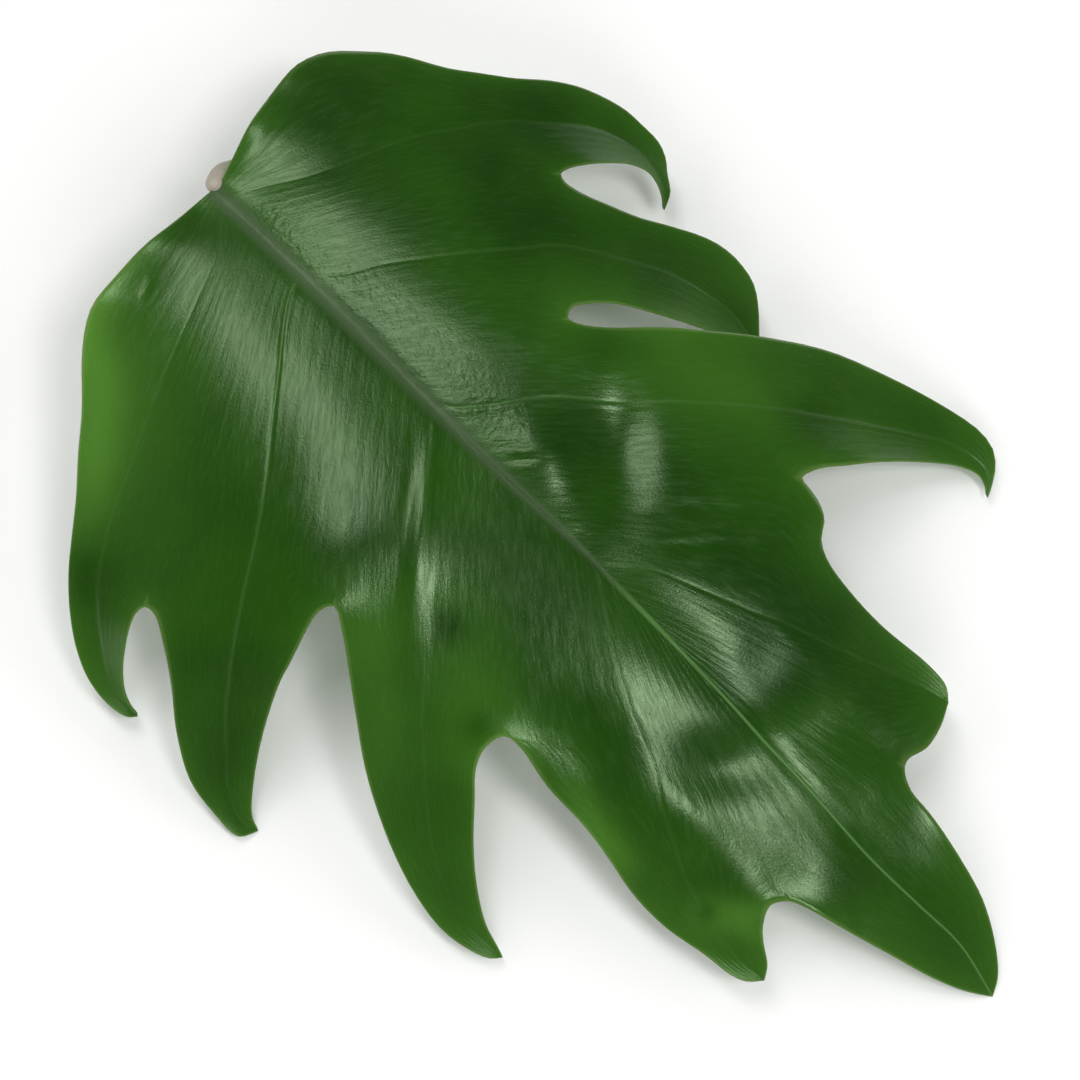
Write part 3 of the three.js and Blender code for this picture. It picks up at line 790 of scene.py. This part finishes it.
under, under_skin = new_material("matte_leaf_underside")
under_map = add_node(under, "Mapping", {
    "Vector": add_node(under, "UVMap", uv_map="lanes").outputs["UV"],
    "Scale": (1 / STREAK_SPACING, 1 / STREAK_LENGTH, 1),
}).outputs[0]
under_streaks = add_node(under, "TexNoise", {
    "Vector": under_map, "Scale": 1.0, "Detail": 3.0,
}, noise_dimensions="2D").outputs["Fac"]
under_shares = [add_node(under, "MapRange", {
    "Value": under_streaks, "From Min": 0.4, "From Max": 0.7, "To Max": 0.4,
}).outputs[0]]
for name in ("vein", "midrib"):
    under_shares.append(add_node(under, "Attribute", attribute_name=name).outputs["Fac"])
under_tissue = linear(UNDER_GREEN)
for share in under_shares:
    under_tissue = add_node(under, "Mix", {
        0: share, 6: under_tissue, 7: linear(RIB_GREEN),
    }, data_type="RGBA").outputs[2]
under.node_tree.links.new(under_tissue, under_skin.inputs["Base Color"])
under_bump = add_node(under, "Bump", {"Height": under_streaks, "Distance": UNDER_RELIEF * MM})
under.node_tree.links.new(under_bump.outputs[0], under_skin.inputs["Normal"])
under_skin.inputs["Roughness"].default_value = UNDER_ROUGHNESS

# Leaf blade, put together
# The streaks of both faces run along the lanes, so the lanes are the blade's pattern map. Its
# points also store, from 0 to 1, where the tissue is midrib, vein or puckered, where painted
# light shines through the thin tissue, and the pale margin line, which is painted light too.
BASE_EDGE = [(-2, -12), (-4, -42), (6.4, -58), (20.7, -66), (33.3, -79), (44.4, -92.7), (57, -112)]
# Painted light: along these strips, towards the lobes' tips and near the margin the colour turns a paler
# yellow-green, standing in for light shining through the thin tissue.
THROUGHLIT_STRIPS = [
    (BASE_EDGE, 8, 0.3), (BASE_EDGE, 28, 0.3), ([(200, -46), (223.7, -53.5), (246, -54.7)], 5, 0.25),
    ([(262, -47), (277, -36)], 5, 0.3), ([(118, 52), (150, 66), (180, 84)], 20, 0.2),
    ([(178, -58), (150, -44)], 16, 0.2), ([(112, -44), (151, -73), (180, -96)], 9, 0.18),
]
THROUGHLIT_AT_TIPS = 0.12
THROUGHLIT_AT_MARGIN = 0.15
THROUGHLIT_REACH = 4.0
MARGIN_LINE = 0.3
MARGIN_SHARE = 0.25
MARGIN_SHARE_THROUGHLIT = 0.6
MIDRIB_MASK_WIDTH = 0.95
VEIN_SHARE = 0.5
PUCKERED = [(20, 6), (62, 8), (100, 10), (122, 11)]
PUCKER_REACH = 8.0


def make_piece(name, points, faces, finish, materials):
    """A piece with smooth faces: points in millimetres from the junction, faces as triangles."""
    mesh = bpy.data.meshes.new(name)
    mesh.vertices.add(len(points))
    mesh.vertices.foreach_set("co", ((points + JUNCTION) * MM).ravel())
    mesh.loops.add(faces.size)
    mesh.loops.foreach_set("vertex_index", faces.ravel().astype(np.int32))
    mesh.polygons.add(len(faces))
    mesh.polygons.foreach_set("loop_start", np.arange(0, faces.size, 3, dtype=np.int32))
    mesh.polygons.foreach_set("material_index", finish.astype(np.int32))
    mesh.update()
    mesh.shade_smooth()
    mesh.validate()
    for material in materials:
        mesh.materials.append(material)
    piece = bpy.data.objects.new(name, mesh)
    bpy.context.scene.collection.objects.link(piece)
    return piece


def add_values(piece, name, numbers):
    """Stores a number for every point of a piece, for its material to read."""
    stored = piece.data.attributes.new(name, "FLOAT", "POINT")
    stored.data.foreach_set("value", numbers.astype(np.float32))


blade = make_piece("leaf_blade_tissue", blade_points, blade_faces, blade_finish, [cuticle, under])
lane_at = np.concatenate([lane, lane, lane[rim_points]])
along_at = np.concatenate([along, along, along[rim_points]])
rim_side = np.tile(np.sign(plan_y[start] + plan_y[end]), 4)
loop_side = np.repeat(np.concatenate([face_side, face_side, rim_side]), 3)
loops = blade_faces.ravel()
lanes_uv = np.stack([lane_at[loops] * loop_side, along_at[loops]], 1)
blade.data.uv_layers.new(name="lanes").data.foreach_set("uv", lanes_uv.ravel().astype(np.float32))

# The share of painted light shining through the thin tissue: in strips, towards the tips and near the
# margin.
throughlit_strips = sum(crease(plan, *form) for form in THROUGHLIT_STRIPS)
throughlit_glow = THROUGHLIT_AT_TIPS * out**1.5 + THROUGHLIT_AT_MARGIN * np.exp(-off_margin / THROUGHLIT_REACH)
# Painted light: the pale line along the edge, stronger along the strips of painted light
margin_share = MARGIN_SHARE + MARGIN_SHARE_THROUGHLIT * np.clip(throughlit_strips, 0, 1)
off_pucker = distance_to(smooth_track(PUCKERED), plan)
masks = {
    "midrib": np.exp(-((off_midrib / MIDRIB_MASK_WIDTH) ** 4)),
    "vein": VEIN_SHARE * np.exp(-((off_vein / GROOVE_HALF_WIDTH) ** 2)) * shown,
    "throughlit": np.clip(throughlit_glow + throughlit_strips, 0, 1),
    "margin": margin_share * np.exp(-((off_margin / MARGIN_LINE) ** 2)),
    "pucker": np.exp(-((off_pucker / PUCKER_REACH) ** 2)),
}
for name, mask in masks.items():
    add_values(blade, name, np.concatenate([mask, mask, mask[rim_points]]))
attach(blade, "root")
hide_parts("leaf_blade")

# Stalk
# A round, fleshy stalk, grown on to the midrib's root with a paler, slightly swollen knuckle.
# It bends under the blade. Its foot was cut off slantwise, and the cut lies flat on the floor
# and shows the pale flesh.
STALK_RADIUS = 2.9
KNUCKLE_SWELL = 0.1
KNUCKLE_LENGTH = 14.0
KNUCKLE_ROUND = 3.0
STALK_SIDES = 48
STALK_RINGS = 160
FIRST_RING = 0.02
RINGS_CROWD = 1.6
FURROWS = 11
FURROW_SHARE = 0.012
CHANNEL_SHARE = 0.05
CHANNEL_ANGLE = 0.35
STALK_ROUTE = [
    (0.5, -0.6, 50.2), (-1.1, 1.7, 50.0), (-3.9, 6.3, 46.0), (-4.6, 12, 39.6), (-0.5, 22, 31.5),
    (4.5, 34, 24.5), (10.5, 46, 16.5), (14.5, 53.5, 9.5),
]

# The stalk is a ring carried along its route. Its radius swells by half a sine at the knuckle,
# is rounded off at the knuckle's head, and has shallow furrows and one channel on the top.
stalk_track = smooth_track(STALK_ROUTE)
stalk_share = np.linspace(FIRST_RING, 1, STALK_RINGS + 1) ** RINGS_CROWD
centre = point_along(stalk_track, stalk_share)
tangent = np.gradient(centre, axis=0)
tangent /= np.linalg.norm(tangent, axis=1, keepdims=True)
sideways = np.cross(tangent, (0, 0, 1.0))
sideways /= np.linalg.norm(sideways, axis=1, keepdims=True)
upright = np.cross(sideways, tangent)
stalk_length = np.linalg.norm(np.diff(stalk_track, axis=0), axis=1).sum()
stalk_along = stalk_share * stalk_length
knuckle = np.sin(np.pi * np.minimum(1, stalk_along / KNUCKLE_LENGTH))
angle = np.linspace(0, 2 * np.pi, STALK_SIDES, endpoint=False)
furrowed = 1 + FURROW_SHARE * np.cos(FURROWS * angle)
furrowed -= CHANNEL_SHARE * np.exp(-((angle - np.pi / 2) / CHANNEL_ANGLE) ** 2)
rounding = np.sqrt(1 - np.maximum(0, 1 - stalk_along / KNUCKLE_ROUND) ** 2)
radius = ((STALK_RADIUS + KNUCKLE_SWELL * knuckle) * rounding)[:, None] * furrowed
ring = np.cos(angle)[:, None] * sideways[:, None] + np.sin(angle)[:, None] * upright[:, None]
tube = centre[:, None] + radius[..., None] * ring

# The last ring slides on along the stalk until each of its points is on the floor
slide = tube[-1, :, 2] / -tangent[-1, 2]
tube[-1] += slide[:, None] * tangent[-1]
tube[..., 2] = np.maximum(tube[..., 2], 0)
stalk_points = np.vstack([tube.reshape(-1, 3), tube[[0, -1]].mean(1)])
at = np.arange((STALK_RINGS + 1) * STALK_SIDES).reshape(STALK_RINGS + 1, STALK_SIDES)
turned = np.roll(at, -1, axis=1)
wall = np.vstack([
    np.stack([at[:-1], turned[:-1], turned[1:]], -1).reshape(-1, 3),
    np.stack([at[:-1], turned[1:], at[1:]], -1).reshape(-1, 3),
])
head = np.stack([np.full(STALK_SIDES, at.size), turned[0], at[0]], 1)
foot = np.stack([np.full(STALK_SIDES, at.size + 1), at[-1], turned[-1]], 1)
stalk_faces = np.vstack([wall, head, foot])
SKIN, FLESH = 0, 1
stalk_finish = np.repeat([SKIN, SKIN, FLESH], [len(wall), len(head), len(foot)])

# The stalk's skin is smooth and dull, greyish pink at the knuckle and green below it, with
# short pale flecks along it.
KNUCKLE_PINK = "#a89c92"
STALK_GREEN = "#5f7a45"
FLECK_GREY = "#a3a88c"
FLECK_WIDTH = 0.8
FLECK_LENGTH = 4.0
FLECK_RELIEF = 0.1
STALK_ROUGHNESS = 0.5

stalk_skin, stalk_shader = new_material("smooth_stalk_skin")
fleck_map = add_node(stalk_skin, "Mapping", {
    "Vector": add_node(stalk_skin, "UVMap", uv_map="lanes").outputs["UV"],
    "Scale": (1 / FLECK_WIDTH, 1 / FLECK_LENGTH, 1),
}).outputs[0]
flecks = add_node(stalk_skin, "TexNoise", {
    "Vector": fleck_map, "Scale": 1.0, "Detail": 2.0,
}, noise_dimensions="2D").outputs["Fac"]
fleck_share = add_node(stalk_skin, "MapRange", {
    "Value": flecks, "From Min": 0.5, "From Max": 0.7, "To Max": 0.6,
}).outputs[0]
near_knuckle = add_node(stalk_skin, "Attribute", attribute_name="knuckle").outputs["Fac"]
stalk_colour = linear(STALK_GREEN)
for share, colour in ((near_knuckle, KNUCKLE_PINK), (fleck_share, FLECK_GREY)):
    stalk_colour = add_node(stalk_skin, "Mix", {
        0: share, 6: stalk_colour, 7: linear(colour),
    }, data_type="RGBA").outputs[2]
stalk_skin.node_tree.links.new(stalk_colour, stalk_shader.inputs["Base Color"])
fleck_bump = add_node(stalk_skin, "Bump", {"Height": flecks, "Distance": FLECK_RELIEF * MM})
stalk_skin.node_tree.links.new(fleck_bump.outputs[0], stalk_shader.inputs["Normal"])
stalk_shader.inputs["Roughness"].default_value = STALK_ROUGHNESS

# The cut shows moist pale flesh, dotted with the darker ends of its strands.
FLESH_GREEN = "#c3cfa0"
DOT_GREEN = "#7d8f55"
DOT_SPACING = 0.9
FLESH_ROUGHNESS = 0.45

flesh, flesh_shader = new_material("cut_stalk_flesh")
dots = add_node(flesh, "TexVoronoi", {
    "Vector": add_node(flesh, "TexCoord").outputs["Object"], "Scale": 1 / (DOT_SPACING * MM),
}).outputs["Distance"]
dot_share = add_node(flesh, "MapRange", {
    "Value": dots, "From Min": 0.35, "From Max": 0.15,
}).outputs[0]
cut_colour = add_node(flesh, "Mix", {
    0: dot_share, 6: linear(FLESH_GREEN), 7: linear(DOT_GREEN),
}, data_type="RGBA").outputs[2]
flesh.node_tree.links.new(cut_colour, flesh_shader.inputs["Base Color"])
flesh_shader.inputs["Roughness"].default_value = FLESH_ROUGHNESS

stalk = make_piece("leaf_stalk", stalk_points, stalk_faces, stalk_finish, [stalk_skin, flesh])
ring_lane = np.tile(angle * STALK_RADIUS, STALK_RINGS + 1)
ring_along = np.repeat(stalk_along, STALK_SIDES)
stalk_uv = np.stack([np.append(ring_lane, [0, 0]), np.append(ring_along, [0, 0])], 1)
stalk_uv = stalk_uv[stalk_faces.ravel()].ravel().astype(np.float32)
stalk.data.uv_layers.new(name="lanes").data.foreach_set("uv", stalk_uv)
pink = np.exp(-((ring_along / KNUCKLE_LENGTH) ** 2))
add_values(stalk, "knuckle", np.append(pink, [1, 0]))
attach(stalk, "root")
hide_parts("petiole")

# Floor and light
# A plain floor of matt white paper. A long strip box and a small box hang high over the leaf
# and give its sheens. Four wide boxes light it from all sides through crossed polarising
# sheets, which take their own mirror images off the wax.
FLOOR_HALF = 3.0
PAPER_WHITE = "#fbfbfa"
PAPER_ROUGHNESS = 0.9
STUDIO_LIGHT = 0.12
FILL_RADIANCE = {45: 2.4, 135: 1.4, 225: 1.2, 315: 1.4}

floor_mesh = bpy.data.meshes.new("floor")
floor_corners = [(-1, -1), (1, -1), (1, 1), (-1, 1)]
floor_points = [(FLOOR_HALF * x, FLOOR_HALF * y, 0) for x, y in floor_corners]
floor_mesh.from_pydata(floor_points, [], [(0, 1, 2, 3)])
floor = bpy.data.objects.new("floor", floor_mesh)
bpy.context.scene.collection.objects.link(floor)
paper, paper_skin = new_material("white_paper")
paper_skin.inputs["Base Color"].default_value = linear(PAPER_WHITE)
paper_skin.inputs["Roughness"].default_value = PAPER_ROUGHNESS
floor_mesh.materials.append(paper)


def soft_box(name, azimuth, elevation, distance, width, height, radiance, crossed=False):
    """A rectangular lamp that faces the leaf, with its distance and sides in metres.

    Its power is pi times its area times its radiance, in watts per square metre and steradian.
    A crossed lamp has polarising sheets, so it doesn't show in the wax.
    """
    lamp = bpy.data.lights.new(name, "AREA")
    lamp.shape = "RECTANGLE"
    lamp.size, lamp.size_y = width, height
    lamp.energy = radiance * np.pi * width * height
    holder = bpy.data.objects.new(name, lamp)
    side = Vector(direction(azimuth, elevation))
    holder.location = distance * side
    holder.rotation_euler = (-side).to_track_quat("-Z", "Y").to_euler()
    holder.visible_glossy = not crossed
    bpy.context.scene.collection.objects.link(holder)


soft_box("sheen_strip", azimuth=261, elevation=67, distance=1.6, width=0.32, height=0.9, radiance=7.8)
soft_box("tip_sheen_box", azimuth=102, elevation=68, distance=1.6, width=0.34, height=0.46, radiance=15)
for azimuth, radiance in FILL_RADIANCE.items():
    soft_box(
        f"fill_box_{azimuth}", azimuth, elevation=32, distance=2.2, width=1.6, height=1.6,
        radiance=radiance, crossed=True,
    )
world = bpy.data.worlds.new("studio")
world.use_nodes = True
background = world.node_tree.nodes["Background"]
background.inputs["Color"].default_value = linear("#ffffff")
background.inputs["Strength"].default_value = STUDIO_LIGHT
bpy.context.scene.world = world
bpy.context.scene.view_settings.view_transform = "Standard"
